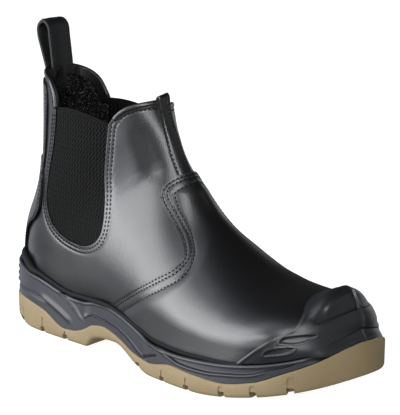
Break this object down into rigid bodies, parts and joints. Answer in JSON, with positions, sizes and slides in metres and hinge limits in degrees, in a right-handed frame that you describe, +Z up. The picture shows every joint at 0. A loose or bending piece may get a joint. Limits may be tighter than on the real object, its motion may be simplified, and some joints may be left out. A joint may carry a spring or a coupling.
{
  "type": "safety boot",
  "caption": "Pull-on ankle safety boot for the right foot: hollow black leather upper with elastic side gussets, heel pull loop, moulded toe bumper, grey cup midsole and tan lugged outsole.",
  "frame": {"origin": "middle of the boot's bounding box, on the floor under the sole", "axes": "+X from heel to toe, +Y to the inner (medial) side, +Z up from the floor"},
  "size_m": [0.306, 0.1133, 0.2045],
  "materials": {
    "tan_rubber": "matte moulded",
    "grey_foam": "satin moulded skin",
    "black_rubber": "satin moulded",
    "black_leather": "smooth, polished",
    "elastic": "knitted",
    "loop_leather": "smooth, semi-gloss",
    "footbed": "brushed textile"
  },
  "bodies": {
    "root": {"outsole": "tan_rubber", "midsole": "grey_foam", "toe_bumper": "black_rubber", "upper": "black_leather", "gusset_lateral": "elastic", "gusset_medial": "elastic", "backstay": "black_leather", "pull_loop": "loop_leather", "insole": "footbed"}
  },
  "joints": []
}
